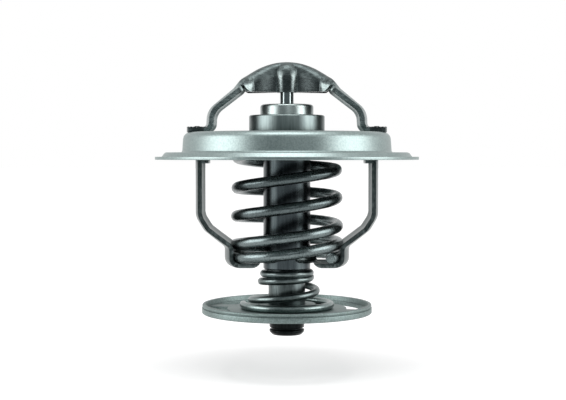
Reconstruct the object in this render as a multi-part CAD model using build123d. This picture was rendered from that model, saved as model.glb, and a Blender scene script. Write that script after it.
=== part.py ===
from build123d import *
import math
import os

# Engine thermostat with a wax element and a sprung bypass disc. Millimetres, +Z towards the bridge.
# The origin is on the axis, level with the underside of the flange. The arms of both yokes lie in XZ.

# Flange and cup, one pressing
flange_diameter = 54.0
cup_diameter = 43.0
flange_sheet = 0.6
lip_width = 1.5
bevel_width = 0.7
plateau_height = 1.5
cup_height = 5.6
cup_corner_radius = 1.2
cup_foot_radius = 0.7
joggle_radius = 0.4
port_diameter = 27.2

# Bridge
bridge_height = 20.0
bridge_sheet = 1.1
bridge_width = 10.0
crown_flat = 2.4
crown_brow_radius = 6.2
crown_brow_drop = 1.1
crown_drop = 3.42
bridge_shoulder_radius = 10.2
bridge_shoulder_drop = 4.5
bridge_knee_inset = 0.2
bridge_knee_height = 9.8
bridge_foot_length = 3.9
bridge_foot_inset = 1.0
bridge_foot_bend = 1.3
bridge_knee_bend = 3.5
crown_bend_radius = 6.0
skirt_reach = 8.9
skirt_depth = 6.2
skirt_waist = 1.8
skirt_fold_radius = 1.6
skirt_sheet = 0.95
skirt_stations = 6
crown_overlap = 0.3
pocket_top_diameter = 4.7
pocket_bottom_diameter = 3.9
pocket_rounding = 1.6
pin_tip_depth = 2.4
groove_count = 6
groove_pitch = 0.65
groove_width = 0.3
groove_depth = 0.3

# Lower frame
frame_sheet = 0.9
frame_width = 10.4
frame_arm_inset = 2.75
frame_elbow_height = -11.5
frame_knee_inset = 1.55
frame_knee_height = -14.1
frame_dish_top = -17.6
frame_floor = -21.9
frame_collar_top = -19.4
frame_bend_radius = 1.5
frame_elbow_bend = 3.0
frame_knee_bend = 2.5
frame_lug_length = 1.9
frame_lug_width = 6.0
frame_lug_sheet = 0.75
tenon_width = 5.0
tenon_proud = 0.15

# Piston pin
pin_diameter = 2.8
pin_length = 27.0
pin_chamfer = 0.4

# Wax element
body_diameter = 9.7
body_bottom = -22.5
cup_wall = 0.8
cup_floor_thickness = 2.0
head_diameter = 15.5
head_bottom = 5.0
head_top = 9.1
head_corner_radius = 1.0
guide_nose_diameter = 10.9
guide_nose_top = 11.3
guide_nose_radius = 1.3
guide_flange_thickness = 1.5
sleeve_diameter = 6.4
sleeve_bottom = -13.5
sleeve_corner_radius = 1.9
wiper_diameter = 5.6
wiper_thickness = 0.9
wiper_depth = 0.3
washer_diameter = 5.4
washer_thickness = 0.7

# Main valve
valve_sheet = 0.9
valve_diameter = 30.0
valve_dish_radius = 8.3
valve_dish_depth = 0.9
valve_bend_radius = 0.6
seal_thickness = 0.75
seal_reach = 2.2
seal_rim = 0.4
seal_lower_lip = 0.5

# Main spring
main_wire = 2.3
main_top_diameter = 22.4
main_bottom_diameter = 23.5
main_start_angle = -225.0
main_end_angle = 1555.0
main_rise_from = -40.0
main_pitch = 5.8
main_lean = 0.5

# Stud, ring, disc and bypass spring
stem_diameter = 7.6
stem_end_diameter = 7.2
stem_bottom = -36.0
stem_chamfer = 0.6
spigot_diameter = 4.4
spigot_length = 1.2
stem_groove_height = -34.7
stem_groove_width = 0.5
stem_groove_depth = 0.35
ring_diameter = 10.4
ring_thickness = 0.8
ring_bore_diameter = 6.2
ring_opening = 1.6
disc_diameter = 35.0
disc_bottom = -31.5
disc_sheet = 0.9
disc_rim_height = 1.5
disc_rim_width = 0.9
disc_step_height = 0.45
disc_step_width = 0.5
disc_hub_slope = 0.4
window_inner_radius = 12.3
window_width = 3.8
window_count = 4
window_angle = 66.0
bypass_wire = 1.5
bypass_top_diameter = 11.1
bypass_bottom_diameter = 19.5
bypass_start_angle = -180.0
bypass_end_angle = 905.0
bypass_rise_from = 4.0
bypass_pitch = 4.0
bypass_taper = 2.4

# Clearances
running_clearance = 0.05
seat_clearance = 0.05
fill_clearance = 0.03
collar_clearance = 0.3
ring_clearance = 0.2
dish_clearance = 0.15
spring_clearance = 0.02

# Steps and easing of the two coils
points_per_turn = 12
main_ease = 90.0
bypass_ease = 180.0

# Worked out from the values above
cup_radius = cup_diameter / 2
port_radius = port_diameter / 2
pin_radius = pin_diameter / 2
body_radius = body_diameter / 2
head_radius = head_diameter / 2
nose_radius = guide_nose_diameter / 2
stem_radius = stem_diameter / 2
stem_end_radius = stem_end_diameter / 2
disc_radius = disc_diameter / 2
valve_radius = valve_diameter / 2
skirt_bottom = bridge_height - skirt_depth
pin_tip_height = bridge_height - pin_tip_depth
pin_bottom = pin_tip_height - pin_length
cup_underside = cup_height - flange_sheet
foot_top = cup_height + bridge_sheet
bridge_foot_radius = cup_radius - bridge_foot_inset
bridge_leg_radius = bridge_foot_radius - bridge_foot_length
bridge_shoulder_height = bridge_height - bridge_shoulder_drop
bridge_knee_radius = bridge_leg_radius - bridge_knee_inset
valve_top = cup_underside - seat_clearance - seal_thickness
valve_bottom = valve_top - valve_sheet
frame_arm_radius = cup_radius - frame_arm_inset
frame_arm_middle = frame_arm_radius - frame_sheet / 2
frame_knee_radius = frame_arm_radius - frame_knee_inset
frame_dish_radius = main_bottom_diameter / 2 + dish_clearance + frame_sheet
frame_seat = frame_floor + frame_sheet
disc_seat = disc_bottom + disc_sheet
disc_hub_rise = ring_thickness + 2 * seat_clearance
ring_top = disc_bottom + disc_hub_rise - seat_clearance
arm_drop = bridge_shoulder_height - bridge_sheet / 2 - bridge_knee_height
arm_steepness = arm_drop / (bridge_knee_radius - bridge_shoulder_radius)
wax_top = head_bottom + cup_wall
sleeve_flange_top = head_top - cup_wall - guide_flange_thickness
element_floor = body_bottom + cup_floor_thickness
body_bore = body_radius - cup_wall
head_bore = head_radius - cup_wall


def turned(section):
    """A solid of revolution about the thermostat's axis."""
    return revolve(Plane.XZ * section, axis=Axis.Z)


def outline(*corners):
    """A face in the radius and height plane from its corners."""
    return make_face(Polyline(*corners, close=True))


def sheet_section(points, radii, thickness):
    """The section of a bent sheet, from its middle line and its bend radii."""
    return trace(FilletPolyline(*points, radius=radii), line_width=thickness)


def band(inner_radius, outer_radius, low, high):
    """A ring with a plain rectangular section."""
    return turned(outline((inner_radius, low), (outer_radius, low), (outer_radius, high), (inner_radius, high)))


def across(width, low, high):
    """A block that a turned form is cut with to leave a strip of that width."""
    return Pos(0, 0, (low + high) / 2) * Box(flange_diameter, width, high - low)


def eased(angle, start, ease):
    """The angle past the start, with the beginning eased in."""
    past = angle - start
    if past <= 0:
        return 0.0
    if past < ease:
        return past * past / (2 * ease)
    return past - ease / 2


def blended(value):
    """A smooth change from 0 to 1."""
    value = min(max(value, 0.0), 1.0)
    return value * value * (3 - 2 * value)


def coil(wire, start_angle, end_angle, radius_at, height_at):
    """A round wire wound between two angles, with its radius and height given by the angle in degrees."""
    steps = round((end_angle - start_angle) / 360 * points_per_turn)
    points = []
    for step in range(steps + 1):
        angle = start_angle + (end_angle - start_angle) * step / steps
        turn = math.radians(angle)
        radius = radius_at(angle)
        points.append((radius * math.cos(turn), radius * math.sin(turn), height_at(angle)))
    path = Spline(*points)
    section = Plane(origin=path @ 0, z_dir=path % 0) * Circle(wire / 2)
    return sweep(section, path=path, is_frenet=True)


def tenon(clearance=0.0):
    """The two ends of the lower frame that pass through the cup and the bridge's feet."""
    inner = frame_arm_radius - frame_sheet - clearance
    outer = frame_arm_radius + clearance
    top = foot_top + tenon_proud
    ring = band(inner, outer, cup_underside, top + clearance)
    return ring & across(tenon_width + 2 * clearance, 0, bridge_height)


def make_flange_seat():
    """The joggled brim, the drawn cup and the port in its top, all one sheet."""
    half = flange_sheet / 2
    flange_radius = flange_diameter / 2
    lip_inner = flange_radius - lip_width
    plateau_middle = plateau_height - half
    top_middle = cup_height - half
    middle_line = [
        (flange_radius, half),
        (lip_inner, half),
        (lip_inner - bevel_width, plateau_middle),
        (cup_radius - half, plateau_middle),
        (cup_radius - half, top_middle),
        (port_radius, top_middle),
    ]
    radii = [joggle_radius, joggle_radius, cup_foot_radius, cup_corner_radius]
    return turned(sheet_section(middle_line, radii, flange_sheet)) - tenon(running_clearance)


def crown_section(reach):
    """The upright section of the crown's channel at a distance from the axis."""
    share = abs(reach) / skirt_reach
    height = bridge_height - crown_drop * share**3
    steepness = min(3 * crown_drop * share**2 / skirt_reach, arm_steepness)
    roof = bridge_sheet * math.hypot(1, steepness)
    half_width = skirt_waist + (bridge_width / 2 - skirt_waist) * blended(share)
    depth = height - skirt_bottom
    top_edge = (Align.CENTER, Align.MAX)
    outside = Rectangle(2 * half_width, depth, align=top_edge)
    outside = fillet(outside.vertices().group_by(Axis.Y)[-1], skirt_fold_radius)
    inside = Rectangle(2 * (half_width - skirt_sheet), 2 * depth, align=top_edge)
    inside = fillet(inside.vertices().group_by(Axis.Y)[-1], skirt_fold_radius - skirt_sheet)
    plane = Plane(origin=(reach, 0, height), x_dir=(0, 1, 0), z_dir=(1, 0, 0))
    return plane * (outside - Pos(0, -roof) * inside)


def make_crown():
    """The channel of the crown: it narrows to a waist round the pin, and its skirts end level."""
    steps = range(-skirt_stations, skirt_stations + 1)
    return loft([crown_section(skirt_reach * step / skirt_stations) for step in steps])


def make_pocket():
    """The boss round the pin, drawn out of the crown's skirts."""
    pocket = Pos(0, 0, skirt_bottom) * Cone(
        pocket_bottom_diameter / 2,
        pocket_top_diameter / 2,
        bridge_height - bridge_sheet / 2 - skirt_bottom,
        align=(Align.CENTER, Align.CENTER, Align.MIN),
    )
    return fillet(pocket.edges().group_by(Axis.Z)[-1], pocket_rounding)


def make_bridge():
    """The pressed upper yoke: arched arms, grooved feet, and a skirted crown with the pin's pocket."""
    half = bridge_sheet / 2
    foot_middle = cup_height + half
    middle_line = [
        (0, bridge_height - half),
        (crown_flat, bridge_height - half),
        (crown_brow_radius, bridge_height - crown_brow_drop - half),
        (bridge_shoulder_radius - half, bridge_shoulder_height - half),
        (bridge_knee_radius - half, bridge_knee_height),
        (bridge_leg_radius - half, foot_middle),
        (bridge_foot_radius, foot_middle),
    ]
    radii = [crown_bend_radius, crown_bend_radius, crown_bend_radius, bridge_knee_bend, bridge_foot_bend]
    arms = turned(sheet_section(middle_line, radii, bridge_sheet)) & across(bridge_width, 0, 2 * bridge_height)
    arms -= Pos(0, 0, bridge_height) * Box(2 * (skirt_reach - crown_overlap), 2 * bridge_width, bridge_height)
    socket = band(0, pin_radius + running_clearance, skirt_bottom - bridge_sheet, pin_tip_height)
    bridge = arms + make_crown() + make_pocket() - socket - tenon(running_clearance)
    for index in range(groove_count):
        middle = bridge_foot_radius - groove_pitch * (index + 0.5)
        groove_low = foot_top - groove_depth
        bridge -= band(middle - groove_width / 2, middle + groove_width / 2, groove_low, foot_top + bridge_sheet)
    return bridge


def make_lower_frame():
    """The spring yoke, pressed round the axis and left as a strip, with lanced lugs and riveted tenons."""
    half = frame_sheet / 2
    floor_middle = frame_floor + half
    collar = body_radius + collar_clearance + half
    middle_line = [
        (frame_arm_middle, cup_underside),
        (frame_arm_middle, frame_elbow_height),
        (frame_knee_radius - half, frame_knee_height),
        (frame_dish_radius - half, frame_dish_top),
        (frame_dish_radius - half, floor_middle),
        (collar, floor_middle),
        (collar, frame_collar_top),
    ]
    blank = across(frame_width, frame_floor, foot_top)
    blank += band(0, collar + half, frame_floor + frame_sheet, 0)
    radii = [frame_elbow_bend, frame_knee_bend, frame_bend_radius, frame_bend_radius, frame_bend_radius]
    frame = turned(sheet_section(middle_line, radii, frame_sheet)) & blank
    frame -= Pos(0, 0, frame_floor) * Box(2 * collar, frame_width, 2 * frame_sheet)
    arm_inside = frame_arm_radius - frame_sheet
    lug = band(arm_inside - frame_lug_length, arm_inside + half, -frame_lug_sheet, 0)
    window = band(arm_inside - frame_sheet, frame_arm_radius + frame_sheet, 0, frame_lug_length)
    lanced = across(frame_lug_width, -frame_lug_length, frame_lug_length)
    frame += lug & lanced
    frame -= window & lanced
    return frame + tenon()


def make_piston_pin():
    """The ground pin, with its tip in the bridge and its tapered foot in the rubber sleeve."""
    return turned(
        outline(
            (0, pin_bottom),
            (pin_radius / 2, pin_bottom),
            (pin_radius, pin_bottom + 2 * pin_chamfer),
            (pin_radius, pin_tip_height - pin_chamfer),
            (pin_radius - pin_chamfer, pin_tip_height),
            (0, pin_tip_height),
        )
    )


def make_wax_cup():
    """The drawn cup of the wax element, its wide head crimped in over the guide."""
    section = outline(
        (spigot_diameter / 2 + fill_clearance, body_bottom),
        (body_radius, body_bottom),
        (body_radius, head_bottom),
        (head_radius, head_bottom),
        (head_radius, head_top),
        (nose_radius + fill_clearance, head_top),
        (nose_radius + fill_clearance, head_top - cup_wall),
        (head_bore, head_top - cup_wall),
        (head_bore, wax_top),
        (body_bore, wax_top),
        (body_bore, element_floor),
        (0, element_floor),
        (0, body_bottom + spigot_length + fill_clearance),
        (spigot_diameter / 2 + fill_clearance, body_bottom + spigot_length + fill_clearance),
    )
    corners = section.vertices().filter_by(lambda v: abs(v.X - head_radius) < 0.001)
    section = fillet(corners, head_corner_radius)
    return turned(section)


def make_guide():
    """The turned bush that the crimp holds, with a seat for the wiper above and the washer below."""
    bore = pin_radius + running_clearance
    flange_low = sleeve_flange_top
    flange_high = head_top - cup_wall
    wiper_top = guide_nose_top - wiper_depth
    section = outline(
        (washer_diameter / 2, flange_low),
        (head_bore - fill_clearance, flange_low),
        (head_bore - fill_clearance, flange_high),
        (nose_radius, flange_high),
        (nose_radius, guide_nose_top),
        (wiper_diameter / 2, guide_nose_top),
        (wiper_diameter / 2, wiper_top - wiper_thickness),
        (bore, wiper_top - wiper_thickness),
        (bore, flange_low + washer_thickness),
        (washer_diameter / 2, flange_low + washer_thickness),
    )
    corner = section.vertices().filter_by(
        lambda v: abs(v.X - nose_radius) < 0.001 and abs(v.Y - guide_nose_top) < 0.001
    )
    return turned(fillet(corner, guide_nose_radius))


def make_wiper_seal():
    """The ring at the mouth of the guide that keeps dirt off the pin."""
    top = guide_nose_top - wiper_depth
    return band(pin_radius + running_clearance, wiper_diameter / 2 - fill_clearance, top - wiper_thickness, top)


def make_backup_washer():
    """The ring that stops the rubber from creeping up along the pin."""
    return band(
        pin_radius + running_clearance,
        washer_diameter / 2 - fill_clearance,
        sleeve_flange_top,
        sleeve_flange_top + washer_thickness,
    )


def sleeve_outline(growth=0.0):
    """The outside of the rubber sleeve, or of the room that the wax leaves for it."""
    radius = sleeve_diameter / 2 + growth
    section = outline(
        (0, sleeve_bottom - growth),
        (radius, sleeve_bottom - growth),
        (radius, wax_top + growth),
        (0, wax_top + growth),
    )
    corner = section.vertices().filter_by(lambda v: v.X > radius / 2 and v.Y < 0)
    return turned(fillet(corner, sleeve_corner_radius + growth))


def make_rubber_sleeve():
    """The moulded sleeve round the pin, with the flange that the guide clamps."""
    flange = band(0, head_bore - fill_clearance, wax_top, sleeve_flange_top)
    bore = pin_radius + running_clearance
    hole = band(0, bore, pin_bottom - seat_clearance, sleeve_flange_top + washer_thickness)
    return sleeve_outline() + flange - hole


def make_wax_charge():
    """The wax between the rubber sleeve and the wall of the cup."""
    charge = band(0, body_bore - fill_clearance, element_floor, wax_top)
    return charge - sleeve_outline(fill_clearance)


def make_valve_plate():
    """The dished plate that hangs under the head of the wax element."""
    half = valve_sheet / 2
    middle_line = [
        (body_radius + running_clearance, head_bottom - half),
        (valve_dish_radius - valve_dish_depth, head_bottom - half),
        (valve_dish_radius, valve_top - half),
        (valve_radius, valve_top - half),
    ]
    return turned(sheet_section(middle_line, valve_bend_radius, valve_sheet))


def make_valve_seal():
    """The rubber moulded over the rim of the valve plate."""
    inner = valve_radius - seal_reach
    outer = valve_radius + seal_rim
    low = valve_bottom - seal_lower_lip
    return turned(
        outline(
            (inner, valve_top),
            (valve_radius, valve_top),
            (valve_radius, valve_bottom),
            (inner + seal_rim, valve_bottom),
            (inner + 2 * seal_rim, low),
            (outer - seal_rim / 2, low),
            (outer, low + seal_rim / 2),
            (outer, valve_top + seal_thickness - seal_rim / 2),
            (outer - seal_rim / 2, valve_top + seal_thickness),
            (inner + seal_rim, valve_top + seal_thickness),
        )
    )


def make_main_spring():
    """The closing spring, slightly wider at its foot and leaning a little in its free turns."""
    low = frame_seat + main_wire / 2 + spring_clearance
    high = valve_bottom - main_wire / 2 - spring_clearance
    top_radius = (main_top_diameter - main_wire) / 2
    bottom_radius = (main_bottom_diameter - main_wire) / 2
    rise_to = main_rise_from + 360 * (high - low) / main_pitch

    def radius_at(angle):
        share = (angle - main_start_angle) / (main_end_angle - main_start_angle)
        return bottom_radius + (top_radius - bottom_radius) * share

    def height_at(angle):
        risen = eased(angle, main_rise_from, main_ease) - eased(angle, rise_to, main_ease)
        free = blended((angle + main_ease) / (2 * main_ease)) * blended((rise_to - angle) / 360)
        return low + main_pitch / 360 * risen + main_lean * free * math.cos(math.radians(angle))

    return coil(main_wire, main_start_angle, main_end_angle, radius_at, height_at)


def make_bypass_spring():
    """The light spring that opens out from the shoulder of the wax element to the disc."""
    low = disc_seat + bypass_wire / 2 + spring_clearance
    high = body_bottom - bypass_wire / 2 - spring_clearance
    top_radius = (bypass_top_diameter - bypass_wire) / 2
    bottom_radius = (bypass_bottom_diameter - bypass_wire) / 2
    rise_to = bypass_rise_from + 360 * (high - low) / bypass_pitch

    def radius_at(angle):
        share = min(max(angle / bypass_end_angle, 0.0), 1.0)
        return top_radius + (bottom_radius - top_radius) * (1 - share) ** bypass_taper

    def height_at(angle):
        risen = eased(angle, bypass_rise_from, bypass_ease) - eased(angle, rise_to, bypass_ease)
        return low + bypass_pitch / 360 * risen

    return coil(bypass_wire, bypass_start_angle, bypass_end_angle, radius_at, height_at)


def make_bypass_stem():
    """The turned stud pressed into the floor of the cup, with a seat for the ring and a grooved end."""
    groove = stem_end_radius - stem_groove_depth
    ring_seat = ring_bore_diameter / 2
    ring_low = ring_top - ring_thickness - seat_clearance
    return turned(
        outline(
            (0, stem_bottom),
            (stem_end_radius - stem_chamfer, stem_bottom),
            (stem_end_radius, stem_bottom + stem_chamfer),
            (stem_end_radius, stem_groove_height - stem_groove_width / 2),
            (groove, stem_groove_height - stem_groove_width / 4),
            (groove, stem_groove_height + stem_groove_width / 4),
            (stem_end_radius, stem_groove_height + stem_groove_width / 2),
            (stem_end_radius, ring_low),
            (ring_seat, ring_low),
            (ring_seat, ring_top),
            (stem_radius, ring_top),
            (stem_radius, body_bottom),
            (spigot_diameter / 2, body_bottom),
            (spigot_diameter / 2, body_bottom + spigot_length),
            (0, body_bottom + spigot_length),
        )
    )


def make_retaining_ring():
    """The split ring in the stud's seat that the disc rests on."""
    ring = band(ring_bore_diameter / 2 + fill_clearance, ring_diameter / 2, ring_top - ring_thickness, ring_top)
    opening = Pos(0, ring_diameter / 2, ring_top) * Box(ring_opening, ring_diameter, 4 * ring_thickness)
    return ring - opening


def make_bypass_disc():
    """The bypass disc: a stepped rim, a raised hub over the ring and curved windows between four spokes."""
    rim_top = disc_bottom + disc_rim_height
    rim_inner = disc_radius - disc_rim_width
    hub_inside = ring_diameter / 2 + ring_clearance
    hub_outside = hub_inside + disc_sheet
    disc = turned(
        outline(
            (stem_radius + running_clearance, disc_bottom + disc_hub_rise),
            (hub_inside, disc_bottom + disc_hub_rise),
            (hub_inside + disc_hub_slope, disc_bottom),
            (disc_radius, disc_bottom),
            (disc_radius, rim_top - disc_step_height),
            (disc_radius - disc_step_width / 2, rim_top - disc_step_height),
            (disc_radius - disc_step_width / 2, rim_top),
            (rim_inner, rim_top),
            (rim_inner, disc_seat),
            (hub_outside, disc_seat),
            (hub_outside - disc_hub_slope, disc_seat + disc_hub_rise),
            (stem_radius + running_clearance, disc_seat + disc_hub_rise),
        )
    )
    middle = window_inner_radius + window_width / 2
    reach = window_angle / 2
    window_line = CenterArc((0, 0), middle, -reach, window_angle)
    window = extrude(SlotArc(window_line, window_width), 4 * disc_sheet, both=True)
    for index in range(window_count):
        disc -= Pos(0, 0, disc_bottom) * Rot(0, 0, 360 / window_count * index) * window
    return disc


PARTS = {
    "flange_seat": make_flange_seat,
    "bridge": make_bridge,
    "lower_frame": make_lower_frame,
    "piston_pin": make_piston_pin,
    "wax_cup": make_wax_cup,
    "guide": make_guide,
    "wiper_seal": make_wiper_seal,
    "backup_washer": make_backup_washer,
    "rubber_sleeve": make_rubber_sleeve,
    "wax_charge": make_wax_charge,
    "valve_plate": make_valve_plate,
    "valve_seal": make_valve_seal,
    "main_spring": make_main_spring,
    "bypass_stem": make_bypass_stem,
    "retaining_ring": make_retaining_ring,
    "bypass_disc": make_bypass_disc,
    "bypass_spring": make_bypass_spring,
}

os.makedirs("parts", exist_ok=True)
for node, make in PARTS.items():
    export_step(make(), f"parts/{node}.step")
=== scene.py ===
import math

import bpy
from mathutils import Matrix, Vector


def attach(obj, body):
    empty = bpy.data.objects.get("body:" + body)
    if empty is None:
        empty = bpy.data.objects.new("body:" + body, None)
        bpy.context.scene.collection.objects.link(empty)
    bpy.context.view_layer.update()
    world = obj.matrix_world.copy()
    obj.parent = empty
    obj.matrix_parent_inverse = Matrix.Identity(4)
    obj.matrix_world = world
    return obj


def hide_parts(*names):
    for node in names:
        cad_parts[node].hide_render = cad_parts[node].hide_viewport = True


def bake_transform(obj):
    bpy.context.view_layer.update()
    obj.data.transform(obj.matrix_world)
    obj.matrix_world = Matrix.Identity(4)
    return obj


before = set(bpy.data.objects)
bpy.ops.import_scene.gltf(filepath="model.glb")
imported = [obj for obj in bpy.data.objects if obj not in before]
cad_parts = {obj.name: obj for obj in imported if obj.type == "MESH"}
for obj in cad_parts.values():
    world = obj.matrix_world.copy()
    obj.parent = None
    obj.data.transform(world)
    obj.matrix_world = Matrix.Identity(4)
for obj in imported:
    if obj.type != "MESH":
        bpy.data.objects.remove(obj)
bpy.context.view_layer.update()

mm = 0.001


# Camera. The photograph was taken level with the flange from a quarter of a metre away,
# square to the two yokes, with a long lens that looks down a little towards the disc.
camera_place = Vector((0, -245, 0.8)) * mm
camera_aim = Vector((-0.8, 0, -8.3)) * mm
bpy.ops.object.select_all(action="DESELECT")
bpy.ops.object.camera_add(location=camera_place)
camera = bpy.context.object
camera.data.sensor_width = 36
camera.data.lens = 75.7
camera.data.clip_start = 0.01
camera.rotation_euler = (camera_aim - camera_place).to_track_quat("-Z", "Y").to_euler()
bpy.context.scene.camera = camera
bpy.context.scene.view_settings.view_transform = "Standard"


# Studio light. Tall soft boxes stand at the left and the right, a wide one hangs overhead, and
# a weak one fills in from behind the camera, as round polished metal is usually lit.
def soft_box(place, width, height, brightness):
    """A rectangular soft box that faces the thermostat and looks this bright from it."""
    bpy.ops.object.select_all(action="DESELECT")
    bpy.ops.object.light_add(type="AREA", location=place)
    lamp = bpy.context.object
    lamp.data.shape = "RECTANGLE"
    lamp.data.size = width
    lamp.data.size_y = height
    lamp.data.energy = brightness * math.pi * width * height
    middle = Vector((0, 0, -10)) * mm
    lamp.rotation_euler = (middle - lamp.location).to_track_quat("-Z", "Y").to_euler()


for side in (-1, 1):
    soft_box((0.53 * side, -0.16, 0.08), 0.46, 0.50, 3.6)
soft_box((0, -0.16, 0.60), 0.50, 0.30, 5.0)
soft_box((0.10, -0.70, 0.35), 0.30, 0.20, 1.2)


# Grey cards. One stands behind the camera and one lies in front of the thermostat, out of the
# picture: polished metal that faces them shows a darker middle between the bands of the lamps.
class Amount:
    """A number that changes over a surface; sums of it are written as sums."""

    def __init__(self, tree, socket):
        self.tree = tree
        self.socket = socket

    def worked(self, operation, *values):
        node = self.tree.nodes.new("ShaderNodeMath")
        node.operation = operation
        for socket, value in zip(node.inputs, values):
            feed(self.tree, socket, value)
        return Amount(self.tree, node.outputs[0])

    def __add__(self, other):
        return self.worked("ADD", self, other)

    def __radd__(self, other):
        return self.worked("ADD", other, self)

    def __sub__(self, other):
        return self.worked("SUBTRACT", self, other)

    def __rsub__(self, other):
        return self.worked("SUBTRACT", other, self)

    def __mul__(self, other):
        return self.worked("MULTIPLY", self, other)

    def __rmul__(self, other):
        return self.worked("MULTIPLY", other, self)

    def __abs__(self):
        return self.worked("ABSOLUTE", self)


def feed(tree, socket, value):
    """Links an amount to a socket, or sets a plain value on it."""
    if isinstance(value, Amount):
        tree.links.new(value.socket, socket)
    elif socket.type == "RGBA" and len(value) == 3:
        socket.default_value = (*value, 1)
    else:
        socket.default_value = value


class Finish:
    """The nodes of a material or of the surroundings, and one way of adding a node to them."""

    def __init__(self, owner):
        self.owner = owner
        owner.use_nodes = True
        self.tree = owner.node_tree

    def add(self, kind, settings=None, inputs=None, output=0):
        node = self.tree.nodes.new(kind)
        for name, value in (settings or {}).items():
            setattr(node, name, value)
        for name, value in (inputs or {}).items():
            feed(self.tree, node.inputs[name], value)
        return Amount(self.tree, node.outputs[output])

    def set(self, shader, **values):
        for name, value in values.items():
            feed(self.tree, self.tree.nodes[shader].inputs[name.replace("_", " ")], value)

    def ramp(self, amount, low, high):
        """0 below low, 1 above high and a smooth change between."""
        limits = {"Value": amount, "From Min": low, "From Max": high}
        return self.add("ShaderNodeMapRange", {"interpolation_type": "SMOOTHSTEP"}, limits)

    def band(self, place, begins, full, fades, ends):
        """1 over a stretch whose two soft edges are given in millimetres, and 0 outside it."""
        rising = self.ramp(place, begins * mm, full * mm)
        return rising * (1 - self.ramp(place, fades * mm, ends * mm))

    def tones(self, share, dark, light):
        """A colour between two, by a share."""
        return self.add("ShaderNodeMix", {"data_type": "RGBA"}, {0: share, 6: dark, 7: light}, output=2)

    def part(self, direction, axis):
        """One of the three parts of a direction or a place."""
        return self.add("ShaderNodeSeparateXYZ", inputs={0: direction}, output=axis)


black = (0, 0, 0)
card_grey = (0.22, 0.25, 0.26)


def grey_card(name, place, width, height, turn):
    """A card that is seen only in shiny metal."""
    bpy.ops.object.select_all(action="DESELECT")
    bpy.ops.mesh.primitive_plane_add(size=1, location=place, rotation=(turn, 0, 0))
    card = bpy.context.object
    card.name = name
    card.scale = (width, height, 1)
    bpy.ops.object.transform_apply(location=True, rotation=True, scale=True)
    grey = Finish(bpy.data.materials.new(name))
    grey.set("Principled BSDF", Base_Color=black, Roughness=1)
    grey.set("Principled BSDF", Emission_Color=card_grey, Emission_Strength=1)
    card.data.materials.append(grey.owner)
    card.visible_camera = False
    card.visible_diffuse = False
    card.visible_shadow = False


grey_card("standing_card", (0, -0.90, 0.60), 1.90, 1.30, math.pi / 2)
grey_card("lying_card", (0, -0.52, -0.0355), 1.60, 0.80, 0)


# Floor and surroundings. A white sheet lies a stroke of the valve below the thermostat and all
# round it is white too. The sheet takes the lamps' light near by, so a soft shadow stays on it.
def seen(finish):
    """1 for what the camera sees, also in metal or through glass, and 0 for light on things."""
    rays = ["Is Camera Ray", "Is Glossy Ray", "Is Transmission Ray"]
    camera_ray, glossy_ray, clear_ray = [finish.add("ShaderNodeLightPath", output=ray) for ray in rays]
    either = camera_ray + glossy_ray + clear_ray
    return either.worked("MINIMUM", either, 1)


white = (1, 1, 1)
room_light = 0.35
world = bpy.data.worlds.new("surroundings")
bpy.context.scene.world = world
surroundings = Finish(world)
room_strength = room_light + (1 - room_light) * seen(surroundings)
surroundings.set("Background", Color=white, Strength=room_strength)

sheet_height = -44.2
near_light = 0.36
lit_within, lost_beyond = 0.05, 0.70
bpy.ops.object.select_all(action="DESELECT")
bpy.ops.mesh.primitive_plane_add(size=8, location=(0, 0, sheet_height * mm))
floor = bpy.context.object
floor.name = "floor"
bpy.ops.object.transform_apply(location=True, rotation=True, scale=True)
sheet = Finish(bpy.data.materials.new("white_sheet"))
spot = sheet.add("ShaderNodeTexCoord", output="Object")
distance = sheet.add("ShaderNodeVectorMath", {"operation": "LENGTH"}, {0: spot}, "Value")
far = sheet.ramp(distance, lit_within, lost_beyond)
sheet_tone = sheet.tones(far, (0.80, 0.80, 0.80), (0.05, 0.05, 0.05))
sheet_light = sheet.tones(seen(sheet) * (near_light + (1 - near_light) * far), black, white)
sheet.set("Principled BSDF", Base_Color=sheet_tone, Roughness=0.9)
sheet.set("Principled BSDF", Emission_Color=sheet_light, Emission_Strength=1)
floor.data.materials.append(sheet.owner)


# Flange and cup. One sheet of stainless steel, 0.6 mm thick: the brim is joggled down to a flat
# lip, and the cup is drawn up in the middle, pierced for the valve and slotted for the yoke.
def bent(corners, radii, steps=6):
    """A line of (radius, height) corners in millimetres, with an arc of each radius between its ends."""
    line = [corners[0]]
    for before, corner, after, radius in zip(corners, corners[1:], corners[2:], radii):
        arriving = (Vector(before) - Vector(corner)).normalized()
        leaving = (Vector(after) - Vector(corner)).normalized()
        half = arriving.angle(leaving) / 2
        middle = Vector(corner) + (arriving + leaving).normalized() * radius / math.sin(half)
        start = Vector(corner) + arriving * radius / math.tan(half) - middle
        end = Vector(corner) + leaving * radius / math.tan(half) - middle
        for step in range(steps + 1):
            line.append(tuple(middle + radius * start.slerp(end, step / steps).normalized()))
    line.append(corners[-1])
    return line


def pick(piece):
    """Leaves one piece selected and active."""
    bpy.ops.object.select_all(action="DESELECT")
    piece.select_set(True)
    bpy.context.view_layer.objects.active = piece


def drawn_up(rise):
    """Draws the selected edge on by a height in metres."""
    bpy.ops.mesh.extrude_region_move(TRANSFORM_OT_translate={"value": (0, 0, rise)})


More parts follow.
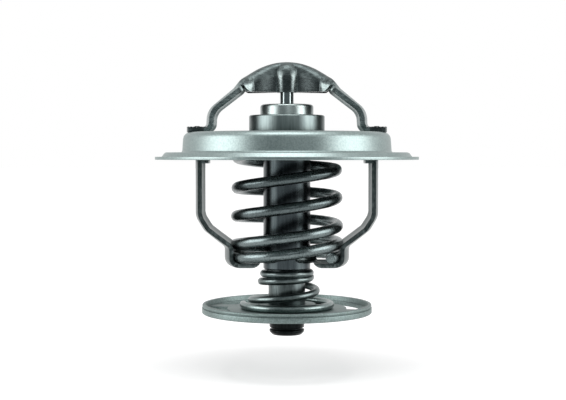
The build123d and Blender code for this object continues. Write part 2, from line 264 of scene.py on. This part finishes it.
def rings(name, outline, fill="NOTHING", around=192):
    """A turned form: a ring is drawn on from corner to corner of its outline in millimetres."""
    bpy.ops.object.select_all(action="DESELECT")
    radius, height = outline[0]
    place = (0, 0, height * mm)
    bpy.ops.mesh.primitive_circle_add(vertices=around, radius=radius * mm, fill_type=fill, location=place)
    piece = bpy.context.object
    piece.name = name
    bpy.ops.object.mode_set(mode="EDIT")
    bpy.ops.mesh.select_all(action="SELECT")
    for next_radius, next_height in outline[1:]:
        drawn_up((next_height - height) * mm)
        growth = next_radius / radius
        bpy.ops.transform.resize(value=(growth, growth, 1))
        radius, height = next_radius, next_height
    bpy.ops.mesh.select_all(action="SELECT")
    bpy.ops.mesh.remove_doubles(threshold=0.001 * mm)
    bpy.ops.mesh.normals_make_consistent(inside=False)
    bpy.ops.object.mode_set(mode="OBJECT")
    bpy.ops.object.transform_apply(location=True, rotation=True, scale=True)
    return piece


def modified(piece, kind, **settings):
    """Adds a modifier to a piece and applies it."""
    pick(piece)
    bpy.ops.object.modifier_add(type=kind)
    modifier = piece.modifiers[-1]
    for name, value in settings.items():
        setattr(modifier, name, value)
    bpy.ops.object.modifier_apply(modifier=modifier.name)


def block(side, near, far, half_width, low, high):
    """A block on the left (-1) or the right (1) of the axis, in millimetres, to cut or build with."""
    bpy.ops.object.select_all(action="DESELECT")
    middle = Vector((side * (near + far) / 2, 0, (low + high) / 2)) * mm
    size = Vector((far - near, 2 * half_width, high - low)) * mm
    bpy.ops.mesh.primitive_cube_add(size=1, location=middle, scale=size)
    bpy.ops.object.transform_apply(location=True, rotation=True, scale=True)
    return bpy.context.object


def cut(piece, tool, operation="DIFFERENCE"):
    """Cuts a tool's form out of a piece, or joins it on, and clears the tool away."""
    modified(piece, "BOOLEAN", operation=operation, object=tool, solver="EXACT")
    bpy.data.objects.remove(tool)


def finished(piece, edge, body, node, finish, turn=28):
    """Rounds the edges of a piece, smooths its shading, gives it its finish, fits it to its body and hides
    its CAD node.
    """
    angle = math.radians(turn)
    if edge:
        modified(piece, "BEVEL", width=edge * mm, segments=3, limit_method="ANGLE", angle_limit=angle)
    pick(piece)
    bpy.ops.object.shade_smooth_by_angle(angle=angle + math.radians(8))
    piece.data.materials.clear()
    piece.data.materials.append(finish.owner)
    if body:
        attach(piece, body)
    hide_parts(node)


def steel(name, dark, light, roughness, grain=3200, drawn=(1, 1, 1), spread=0.08, depth=0.002, cloudy=0.3):
    """A plain metal surface: two near tones in soft clouds and a fine grain, which also break its gloss."""
    finish = Finish(bpy.data.materials.new(name))
    finish.place = finish.add("ShaderNodeTexCoord", output="Object")
    along = finish.add("ShaderNodeMapping", inputs={"Vector": finish.place, "Scale": drawn})
    clouds = finish.add("ShaderNodeTexNoise", inputs={"Vector": finish.place, "Scale": 190, "Detail": 5})
    fine = finish.add("ShaderNodeTexNoise", inputs={"Vector": along, "Scale": grain, "Detail": 4})
    mottle = cloudy * clouds + (1 - cloudy) * fine
    finish.grain = finish.ramp(mottle, 0.33, 0.67)
    finish.height = finish.part(finish.place, "Z")
    finish.tone = finish.tones(finish.grain, dark, light)
    finish.gloss = roughness + 2 * spread * (mottle - 0.5)
    bump = finish.add("ShaderNodeBump", inputs={"Height": fine, "Strength": 0.5, "Distance": depth * mm})
    finish.set("Principled BSDF", Base_Color=finish.tone, Metallic=1.0, Roughness=finish.gloss, Normal=bump)
    return finish


def covered(finish, share, dark, light):
    """Gives part of a surface another pair of tones, with the same grain."""
    finish.tone = finish.tones(share, finish.tone, finish.tones(finish.grain, dark, light))
    finish.set("Principled BSDF", Base_Color=finish.tone)


flange_sheet = 0.6
lip_height, brim_height, cup_height = 0.3, 1.2, 5.3
brim_radius, lip_radius, joggle_radius = 27, 25.5, 24.8
cup_foot_radius, cup_top_radius, port_radius = 21.2, 20.9, 13.6
flange_line = bent(
    [
        (brim_radius, lip_height), (lip_radius, lip_height), (joggle_radius, brim_height),
        (cup_foot_radius, brim_height), (cup_top_radius, cup_height), (port_radius, cup_height),
    ],
    [0.4, 0.4, 0.7, 1.2],
)
tenon_radius = 18.3
tenon_half_width = 2.5
yoke_sheet = 0.9
play = 0.05


def slotted(piece, low, high):
    """Cuts the two slots that the yoke's tenons go through."""
    reach = yoke_sheet / 2 + play
    for side in (-1, 1):
        near, far = tenon_radius - reach, tenon_radius + reach
        cut(piece, block(side, near, far, tenon_half_width + play, low, high))


flange = rings("flange_cup", flange_line)
modified(flange, "SOLIDIFY", thickness=flange_sheet * mm, offset=0, use_even_offset=True)
slotted(flange, 4, 7)
flange_dark, flange_light = (0.215, 0.266, 0.262), (0.285, 0.346, 0.339)
flange_steel = steel("flange_steel", flange_dark, flange_light, 0.40, spread=0.04, cloudy=0.1)
finished(flange, 0.1, "housing", "flange_seat", flange_steel)


# Bridge. One strip of 1.1 mm steel, arched over the cup: its edges are folded down at the crown
# and drawn in round the pin's pocket, and its grooved feet lie on the cup with the yoke riveted through.
bridge_sheet = 1.08
crown_top = 20
crown_reach = 8.9
crown_drop = 3.42
half_sheet = 0.55
skirt_bottom, skirt_lift = 13.8, 0.9
waist, widening, flaring = 0.8, 2.0, 1.7
pin_fold, fold_growth, least_fold, least_skirt = 0.9, 1.5, 0.6, 0.4
pocket_radius, pocket_draft, pocket_round = 1.84, 0.07, 1.8
pocket_round_from = 17.4
arm_half_width = 5.0
arm_fall = 0.83
crown_side, shoulder, knee = (6.2, 18.35), (9.65, 14.95), (15.85, 9.8)
heel, toe = (16.05, 6.15), (20.5, 6.15)
flank_from, flank_length = 8.6, 2.0


def blended(value):
    value = min(max(value, 0), 1)
    return value * value * (3 - 2 * value)


def arm_height(radius):
    """The height of the sheet's middle where the arm leaves the crown."""
    return shoulder[1] - arm_fall * (radius - shoulder[0]) + 0.22 * blended((10.6 - radius) / 1.4)


def arm_point(radius, height, share):
    across = arm_half_width * share
    return Vector((math.sqrt(radius * radius - across * across), across, height))


def crown_point(reach, share):
    """A point in the crown's sheet: its share is 0 on the ridge and 1 or -1 at the skirts' edges."""
    part = reach / crown_reach
    ridge = crown_top - crown_drop * part ** 2.1 - half_sheet * math.hypot(1, min(0.81 * part, 0.83))
    flare = min(max((reach - 6.9) / 1.9, 0), 1)
    half_width = waist + widening * blended((reach - 1.2) / 6.6) + flaring * flare
    bottom = skirt_bottom + skirt_lift * blended((reach - 7.6) / 1.6)
    fold_room = max(ridge - bottom - least_skirt, least_fold)
    fold = min(pin_fold + fold_growth * blended(part), half_width - 0.05, fold_room)
    bottom = min(bottom, ridge - fold - least_skirt)
    flat = half_width - fold
    side = abs(share)
    if side < 0.3:
        across, height = flat * side / 0.3, ridge
    elif side < 0.65:
        turn = math.pi / 2 * (side - 0.3) / 0.35
        across, height = flat + fold * math.sin(turn), ridge - fold + fold * math.cos(turn)
    else:
        across = half_width
        height = ridge - fold - (ridge - fold - bottom) * (side - 0.65) / 0.35
    pocket = pocket_radius + pocket_draft * (height - skirt_bottom)
    up_round = min(max(height - pocket_round_from, 0), pocket_round)
    pocket -= pocket_round - math.sqrt(pocket_round ** 2 - up_round ** 2)
    round_pocket = math.sqrt(max(pocket * pocket - reach * reach, 0)) * min(side / 0.5, 1)
    across = max(across, round_pocket)
    return Vector((reach, math.copysign(across, share), height))


def flank_point(reach, share):
    """A point where the folded crown opens out into the flat arm."""
    radius = reach + 0.35
    flat_point = arm_point(radius, arm_height(radius), share)
    return crown_point(reach, share).lerp(flat_point, blended((reach - flank_from) / flank_length))


half_stations = [("crown", 0.15 * step) for step in range(20)]
half_stations += [("crown", 3.0 + 0.4 * step) for step in range(10)]
half_stations += [("crown", 6.8 + 0.2 * step) for step in range(10)]
half_stations += [("flank", flank_from + 0.2 * step) for step in range(1, 10)]
arm_line = bent([crown_side, shoulder, knee, heel, toe], [6, 3.5, 1.3], steps=8)
half_stations += [("arm", corner) for corner in arm_line if corner[0] > 10.9]
shares = [index / 14 - 1 for index in range(29)]
columns = 2 * len(half_stations) - 1
bpy.ops.object.select_all(action="DESELECT")
bpy.ops.mesh.primitive_grid_add(x_subdivisions=columns - 1, y_subdivisions=len(shares) - 1, size=2)
bridge = bpy.context.object
bridge.name = "arched_bridge"
for index, vertex in enumerate(bridge.data.vertices):
    row, column = divmod(index, columns)
    station = column - len(half_stations) + 1
    kind, value = half_stations[abs(station)]
    if kind == "crown":
        point = crown_point(value, shares[row])
    elif kind == "flank":
        point = flank_point(value, shares[row])
    else:
        point = arm_point(*value, shares[row])
    vertex.co = Vector((math.copysign(point.x, station), point.y, point.z)) * mm
modified(bridge, "SOLIDIFY", thickness=bridge_sheet * mm, offset=0, use_even_offset=False)


def hoop(inner, outer, low, high):
    """The closed outline of a ring with square edges."""
    return [(inner, low), (outer, low), (outer, high), (inner, high), (inner, low)]


pin_radius = 1.4
pin_top = 17.6
cut(bridge, rings("socket", hoop(0.2, pin_radius + play, 13, pin_top), around=64))
groove_spacing, groove_width = 0.65, 0.3
groove_floor, over_foot = 6.38, 7.4
for groove in range(6):
    inner = toe[0] - groove_spacing * (groove + 0.5) - groove_width / 2
    cut(bridge, rings("groove", hoop(inner, inner + groove_width, groove_floor, over_foot)))
slotted(bridge, 5, over_foot)

bridge_steel = steel("bridge_steel", (0.050, 0.060, 0.061), (0.090, 0.108, 0.108), 0.27, drawn=(0.25, 1, 1))
out_from_pin = abs(bridge_steel.part(bridge_steel.place, "X"))
# Painted highlight: the crown's top, above its crease, is painted lighter than the skirts below it, and is
# made rougher too.
crease = bridge_steel.height + 30 * out_from_pin * out_from_pin
crown_top_painted_light = bridge_steel.ramp(crease, 16.8 * mm, 17.5 * mm)
covered(bridge_steel, crown_top_painted_light, (0.050, 0.062, 0.063), (0.120, 0.146, 0.145))
bridge_steel.set("Principled BSDF", Roughness=bridge_steel.gloss + 0.16 * crown_top_painted_light)
# Painted highlight: the corner facets of the skirts, where the folds open out, are painted lighter.
skirt_corner_highlight_painted = bridge_steel.band(out_from_pin, 6.9, 7.1, 8.8, 9.3) * (1 - crown_top_painted_light)
covered(bridge_steel, skirt_corner_highlight_painted, (0.14, 0.17, 0.168), (0.22, 0.26, 0.255))
# Painted highlight: the arms are painted lighter all along them, in place of their highlights.
arms_painted_light = bridge_steel.band(out_from_pin, 9.2, 10.2, 16.5, 16.9)
covered(bridge_steel, arms_painted_light, (0.13, 0.16, 0.16), (0.29, 0.345, 0.34))
# Painted highlight: two lighter bands are painted down the pocket's sides, below its top.
pocket_bands_painted_light = bridge_steel.band(out_from_pin, 0.7, 1.0, 2.0, 2.4)
low_down = 1 - bridge_steel.ramp(bridge_steel.height, 16.9 * mm, 18.3 * mm)
covered(bridge_steel, pocket_bands_painted_light * low_down, (0.15, 0.18, 0.18), (0.24, 0.28, 0.275))
finished(bridge, 0.1, "housing", "bridge", bridge_steel, turn=38)


# Lower yoke. A strip of 0.9 mm steel pressed round the axis: its arms hang from the cup on riveted
# tenons, lanced lugs keep it off the flange, and its dish carries the main spring.
def strip(piece, half_width, beyond):
    """Trims what lies outside a radius down to a strip along X."""
    for side in (-1, 1):
        for face in piece.data.polygons:
            face.select = Vector(face.center[:2]).length > beyond * mm
        pick(piece)
        bpy.ops.object.mode_set(mode="EDIT")
        edge = (0, side * half_width * mm, 0)
        bpy.ops.mesh.bisect(plane_co=edge, plane_no=(0, side, 0), clear_outer=True)
        bpy.ops.object.mode_set(mode="OBJECT")


def rod(place, radius, length, lean=0, around=48):
    """A round rod to cut with: its middle is at a place in metres and its size is in millimetres."""
    bpy.ops.object.select_all(action="DESELECT")
    size = {"vertices": around, "radius": radius * mm, "depth": length * mm}
    bpy.ops.mesh.primitive_cylinder_add(location=place, rotation=(lean, 0, 0), **size)
    bpy.ops.object.transform_apply(location=True, rotation=True, scale=True)
    return bpy.context.object


cup_underside = 5.0
yoke_half_width = 5.2
elbow_height = -11.5
yoke_knee = (16.75, -14.1)
dish_radius, dish_rim, dish_floor = 12.35, -17.6, -21.45
mouth_radius, mouth_top = 5.6, -19.4
yoke_line = bent(
    [
        (tenon_radius, cup_underside), (tenon_radius, elbow_height), yoke_knee, (dish_radius, dish_rim),
        (dish_radius, dish_floor), (mouth_radius, dish_floor), (mouth_radius, mouth_top),
    ],
    [3.0, 2.5, 1.5, 1.5, 1.5],
)
yoke = rings("spring_yoke", yoke_line)
strip(yoke, yoke_half_width, beyond=6.2)
modified(yoke, "SOLIDIFY", thickness=yoke_sheet * mm, offset=0, use_even_offset=True)

relief_reach, relief_radius, relief_height = 7.1, 1.95, -19.95
relief = block(1, -relief_reach, relief_reach, 6.5, -22.8, -20.9)
for side in (-1, 1):
    corner = (side * relief_reach * mm, 0, relief_height * mm)
    cut(relief, rod(corner, relief_radius, 20, lean=math.pi / 2, around=96))
cut(yoke, relief)

lug_half_width, lug_window_height = 3, 1.9
lug_inner, lug_outer, lug_bottom, lug_top = 15.95, 18.1, -0.75, 0.02
tenon_bottom, tenon_top = 4.8, 6.85
for side in (-1, 1):
    cut(yoke, block(side, 16.5, 19.5, lug_half_width, 0, lug_window_height))
    cut(yoke, block(side, lug_inner, lug_outer, lug_half_width, lug_bottom, lug_top), "UNION")
    near, far = tenon_radius - yoke_sheet / 2, tenon_radius + yoke_sheet / 2
    cut(yoke, block(side, near, far, tenon_half_width, tenon_bottom, tenon_top), "UNION")
frame_steel = steel("frame_steel", (0.060, 0.074, 0.074), (0.125, 0.150, 0.148), 0.30, drawn=(1, 1, 0.3))
finished(yoke, 0.1, "housing", "lower_frame", frame_steel)


# Piston pin. Ground and hardened steel: its tip is held in the bridge's pocket and its tapered
# foot stands in the rubber sleeve, so the element slides down along it as the wax melts.
pin_bottom = -9.4
foot_taper, tip_chamfer = 0.8, 0.4
pin_outline = [
    (pin_radius / 2, pin_bottom), (pin_radius, pin_bottom + foot_taper),
    (pin_radius, pin_top - tip_chamfer), (pin_radius - tip_chamfer, pin_top),
]
pin = rings("ground_pin", pin_outline, fill="TRIFAN", around=64)
pin_steel = steel("pin_steel", (0.20, 0.235, 0.235), (0.27, 0.31, 0.31), 0.13, grain=1600)
finished(pin, 0, "housing", "piston_pin", pin_steel)


# Wax element. A cup drawn from brass and plated dark, its wide head crimped in over the guide;
# the guide's round nose stands out of the crimp, with the wiper ring and the washer inside it.
element_wall = 0.8
body_radius, body_bottom, body_floor = 4.85, -22.5, -20.5
head_radius, head_bottom, head_top = 7.75, 5.0, 9.1
crimp_radius = 5.48
rivet_bore = 2.23
crimp_underside = head_top - element_wall
head_bore, head_floor = head_radius - element_wall, head_bottom + element_wall
body_bore = body_radius - element_wall
element = rings(
    "element_body",
    [
        (body_radius, body_bottom), (body_radius, head_bottom), (head_radius, head_bottom),
        (head_radius, head_top), (crimp_radius, head_top), (crimp_radius, crimp_underside),
        (head_bore, crimp_underside), (head_bore, head_floor), (body_bore, head_floor),
        (body_bore, body_floor), (rivet_bore, body_floor), (rivet_bore, body_bottom),
        (body_radius, body_bottom),
    ],
)
body_dark, body_light = (0.030, 0.038, 0.042), (0.054, 0.067, 0.072)
element_metal = steel("element_metal", body_dark, body_light, 0.25, drawn=(1, 1, 0.06))
# Painted reflections: two upright bands on each side of the middle are painted lighter, in place of the
# side lamps' highlights.
off_middle = abs(element_metal.part(element_metal.place, "X"))
side_lamp_bands_painted = element_metal.band(off_middle, 1.7, 2.5, 3.2, 3.9)
covered(element_metal, side_lamp_bands_painted, (0.070, 0.088, 0.093), (0.125, 0.152, 0.158))
head = element_metal.ramp(element_metal.height, 4.5 * mm, 4.8 * mm)
covered(element_metal, head, (0.150, 0.184, 0.184), (0.215, 0.258, 0.253))
element_metal.set("Principled BSDF", Roughness=element_metal.gloss + 0.12 * head)
finished(element, 0.35, "element", "wax_cup", element_metal)

guide_bottom, guide_foot_radius = 6.8, 6.92
nose_radius, nose_top = 5.45, 11.3
wiper_seat_radius, wiper_seat = 2.8, 10.1
guide_bore = pin_radius + play
washer_seat_radius, washer_seat = 2.7, 7.5
nose = rings(
    "guide_nose",
    [
        (washer_seat_radius, guide_bottom), (guide_foot_radius, guide_bottom),
        (guide_foot_radius, crimp_underside), (nose_radius, crimp_underside),
        (nose_radius, nose_top - 0.5), (nose_radius - 0.15, nose_top - 0.15), (nose_radius - 0.5, nose_top),
        (wiper_seat_radius, nose_top), (wiper_seat_radius, wiper_seat),
        (guide_bore, wiper_seat), (guide_bore, washer_seat), (washer_seat_radius, washer_seat),
        (washer_seat_radius, guide_bottom),
    ],
)
guide_metal = steel("guide_metal", (0.25, 0.295, 0.29), (0.33, 0.38, 0.372), 0.32)
finished(nose, 0.12, "element", "guide", guide_metal)


# Springs. Both are wound right-handed from round spring wire with closed ends: the main spring
# stands in the dish under the valve, the bypass spring opens out from the body to the disc.
def eased(angle, start, ease):
    """The angle past a start, with its beginning eased in."""
    past = max(angle - start, 0)
    return past * past / (2 * ease) if past < ease else past - ease / 2


def wound(name, wire, start, end, radius_at, height_at, step=7.5, sides=20):
    """A round wire: its end is turned about the axis, raised and moved out, step by step, in degrees."""
    bpy.ops.object.select_all(action="DESELECT")
    steps = round((end - start) / step)
    turned = -math.radians((end - start) / steps)
    radius, height = radius_at(start), height_at(start)
    place = (radius * mm, 0, height * mm)
    upright = (math.pi / 2, 0, 0)
    bpy.ops.mesh.primitive_circle_add(
        vertices=sides, radius=wire / 2 * mm, fill_type="TRIFAN", location=place, rotation=upright
    )
    piece = bpy.context.object
    piece.name = name
    bpy.ops.object.transform_apply(location=True, rotation=True, scale=True)
    bpy.ops.object.mode_set(mode="EDIT")
    bpy.ops.mesh.select_all(action="SELECT")
    bpy.ops.transform.rotate(value=-math.radians(start), orient_axis="Z", center_override=(0, 0, 0))
    for index in range(steps):
        angle = start + (end - start) * (index + 1) / steps
        next_radius, next_height = radius_at(angle), height_at(angle)
        drawn_up((next_height - height) * mm)
        bpy.ops.transform.rotate(value=turned, orient_axis="Z", center_override=(0, 0, 0))
        outward = (next_radius - radius) * mm
        turn = math.radians(angle)
        bpy.ops.transform.translate(value=(outward * math.cos(turn), outward * math.sin(turn), 0))
        radius, height = next_radius, next_height
    bpy.ops.mesh.select_all(action="SELECT")
    bpy.ops.mesh.normals_make_consistent(inside=False)
    bpy.ops.object.mode_set(mode="OBJECT")
    return piece


main_wire = 2.3


def main_radius(angle):
    low_radius, high_radius = 10.6, 10.05
    return low_radius + (high_radius - low_radius) * (angle + 225) / 1780


def main_height(angle):
    low, high, pitch, rise_from = -19.83, 2.13, 5.8, -180
    rise_to = rise_from + 135 + 360 * (high - low) / pitch
    risen = eased(angle, rise_from, 360) - eased(angle, rise_to, 90)
    free = blended((angle - rise_from) / 150) * blended((rise_to - angle) / 360)
    opened = blended((angle - rise_from) / 160) * blended((190 - angle) / 160)
    return low + pitch / 360 * risen + 0.5 * free * math.cos(math.radians(angle)) + 1.5 * opened


spring_steel = steel("spring_steel", (0.062, 0.078, 0.080), (0.115, 0.140, 0.143), 0.28)
# Painted light: the lower turns are painted lighter, and the upper ones, in the shade of the flange, stay
# dark.
lower_turns_painted_lighter = 1 - spring_steel.ramp(spring_steel.height, -17 * mm, -9 * mm)
covered(spring_steel, lower_turns_painted_lighter, (0.105, 0.130, 0.132), (0.180, 0.216, 0.218))
main_spring = wound("main_coil", main_wire, -395, 1555, main_radius, main_height)
finished(main_spring, 0.15, None, "main_spring", spring_steel, turn=40)
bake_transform(main_spring)

bypass_wire = 1.5


def bypass_radius(angle):
    high_radius, low_radius = 4.8, 9
    share = min(max(angle / 905, 0), 1)
    return high_radius + (low_radius - high_radius) * (1 - share) ** 2.4


def bypass_height(angle):
    opening, pitch = 5.0, 4.0
    closing, wire_pitch = 1.56, 1.56
    opened = eased(angle, 4, 180) - eased(angle, 4 + 360 * opening / pitch, 180)
    closed = eased(angle, 480, 180) - eased(angle, 480 + 360 * closing / wire_pitch, 180)
    return -29.83 + (pitch * opened + wire_pitch * closed) / 360


light_wire = steel("bypass_wire", (0.10, 0.123, 0.123), (0.165, 0.198, 0.196), 0.30)
last_turn = 1 - light_wire.ramp(light_wire.height, -29.0 * mm, -27.5 * mm)
covered(light_wire, last_turn, (0.150, 0.188, 0.184), (0.240, 0.292, 0.284))
bypass_spring = wound("bypass_coil", bypass_wire, -180, 1110, bypass_radius, bypass_height)
finished(bypass_spring, 0.12, None, "bypass_spring", light_wire, turn=40)
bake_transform(bypass_spring)


# Main valve. A dished steel plate hangs under the element's head, with a rubber ring moulded
# over its rim that closes on the underside of the cup.
valve_sheet = 0.9
valve_bore, valve_radius = 4.9, 15
step_top, step_foot = 7.4, 8.3
valve_top, valve_rim = 4.55, 3.75
valve_line = bent(
    [(valve_bore, valve_top), (step_top, valve_top), (step_foot, valve_rim), (valve_radius, valve_rim)],
    [0.6, 0.6],
)
valve_plate = rings("valve_dish", valve_line)
modified(valve_plate, "SOLIDIFY", thickness=valve_sheet * mm, offset=0, use_even_offset=True)
valve_steel = steel("valve_steel", (0.10, 0.12, 0.12), (0.16, 0.19, 0.185), 0.36)
finished(valve_plate, 0.1, "element", "valve_plate", valve_steel)


# Stud. Turned steel, dark grey, and painted near black below the disc as painted shade: it is
# pressed into the floor of the body, guides the disc and ends in a groove and a chamfer below it.
# A split ring in its seat keeps the disc on.
stud_radius, stud_bottom = 3.8, -36
end_radius, end_chamfer = 3.6, 0.6
end_groove_radius, end_groove = 3.25, -34.7
ring_seat_radius, ring_seat_bottom, ring_seat_top = 3.1, -31.5, -30.65
rivet_radius, rivet_top = 2.2, -21.3
stud = rings(
    "turned_stud",
    [
        (end_radius - end_chamfer, stud_bottom), (end_radius, stud_bottom + end_chamfer),
        (end_radius, end_groove - 0.25), (end_groove_radius, end_groove - 0.12),
        (end_groove_radius, end_groove + 0.12), (end_radius, end_groove + 0.25),
        (end_radius, ring_seat_bottom), (ring_seat_radius, ring_seat_bottom),
        (ring_seat_radius, ring_seat_top), (stud_radius, ring_seat_top), (stud_radius, body_bottom),
        (rivet_radius, body_bottom), (rivet_radius, rivet_top),
    ],
    fill="TRIFAN",
    around=96,
)
# Painted shade: the stud's own tones are near black, and only its length above the disc is covered with a
# lighter grey.
stud_steel = steel("stud_steel", (0.004, 0.005, 0.005), (0.010, 0.012, 0.012), 0.30, drawn=(1, 1, 0.1))
above_painted_shade = stud_steel.ramp(stud_steel.height, -31.4 * mm, -30.9 * mm)
covered(stud_steel, above_painted_shade, (0.070, 0.086, 0.086), (0.125, 0.150, 0.150))
finished(stud, 0.06, "element", "bypass_stem", stud_steel)


# Bypass disc. Blanked and coined from 0.9 mm steel with a stepped rim, a hub raised over the
# split ring and four curved windows; it slides on the stud against its spring.
disc_radius, disc_bottom, disc_floor = 17.5, -31.5, -30.6
disc_bore = stud_radius + play
hub_top, rim_top, rim_groove = -29.7, -29.65, -30.25
bead_radius, rim_groove_radius = 17.42, 17.22
disc = rings(
    "windowed_disc",
    [
        (disc_bore, disc_floor), (5.4, disc_floor), (5.8, disc_bottom), (17.3, disc_bottom),
        (disc_radius, disc_bottom + 0.15), (disc_radius, rim_groove - 0.15),
        (rim_groove_radius, rim_groove - 0.05), (rim_groove_radius, rim_groove + 0.05),
        (bead_radius, rim_groove + 0.15), (bead_radius, rim_top - 0.15),
        (17.3, rim_top), (16.7, rim_top), (16.6, disc_floor), (6.3, disc_floor), (5.9, hub_top),
        (disc_bore, hub_top), (disc_bore, disc_floor),
    ],
)
window_radius, window_half_width = 14.2, 1.9
tool_height, tool_length = -31, 4
window_reach = math.radians(33)
for quarter in range(4):
    middle = math.radians(90 * quarter)
    for turn in (middle - window_reach, middle + window_reach):
        across, aside = window_radius * math.cos(turn), window_radius * math.sin(turn)
        cut(disc, rod(Vector((across, aside, tool_height)) * mm, window_half_width, tool_length))
    bpy.ops.object.select_all(action="DESELECT")
    place = (window_radius * mm, 0, tool_height * mm)
    bpy.ops.mesh.primitive_plane_add(size=1, location=place, rotation=(math.pi / 2, 0, 0))
    slot = bpy.context.object
    slot.scale = (2 * window_half_width * mm, tool_length * mm, 1)
    bpy.ops.object.transform_apply(location=True, rotation=True, scale=True)
    bpy.ops.object.mode_set(mode="EDIT")
    bpy.ops.mesh.select_all(action="SELECT")
    bpy.ops.transform.rotate(value=window_reach - middle, orient_axis="Z", center_override=(0, 0, 0))
    bpy.ops.mesh.spin(steps=40, angle=2 * window_reach, center=(0, 0, 0), axis=(0, 0, 1))
    bpy.ops.mesh.select_all(action="SELECT")
    bpy.ops.mesh.normals_make_consistent(inside=False)
    bpy.ops.object.mode_set(mode="OBJECT")
    cut(disc, slot)
disc_steel = steel("disc_steel", (0.125, 0.163, 0.158), (0.225, 0.280, 0.272), 0.48, spread=0.15)
finished(disc, 0.05, "bypass_valve", "bypass_disc", disc_steel)


# Small parts. The split ring is of spring steel, the valve ring, the sleeve and the wiper are of
# rubber, the washer is of white plastic, and the wax is filled with copper dust.
def dressed(node, finish):
    """Gives a finish to a part that keeps its plain form."""
    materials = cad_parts[node].data.materials
    materials.clear()
    materials.append(finish.owner)


def moulded(name, dark, light, roughness):
    """A moulded surface that isn't metal."""
    finish = steel(name, dark, light, roughness, grain=1400, depth=0.01)
    finish.set("Principled BSDF", Metallic=0.0)
    return finish


dressed("retaining_ring", steel("ring_steel", (0.030, 0.036, 0.038), (0.055, 0.065, 0.068), 0.30))
dressed("valve_seal", moulded("valve_rubber", (0.010, 0.010, 0.011), (0.022, 0.022, 0.023), 0.52))
dressed("rubber_sleeve", moulded("sleeve_rubber", (0.012, 0.012, 0.012), (0.024, 0.023, 0.022), 0.56))
dressed("wiper_seal", moulded("wiper_rubber", (0.011, 0.012, 0.013), (0.021, 0.022, 0.024), 0.50))
dressed("backup_washer", moulded("washer_plastic", (0.66, 0.65, 0.61), (0.76, 0.75, 0.71), 0.42))
dressed("wax_charge", moulded("copper_wax", (0.30, 0.13, 0.055), (0.46, 0.24, 0.12), 0.58))
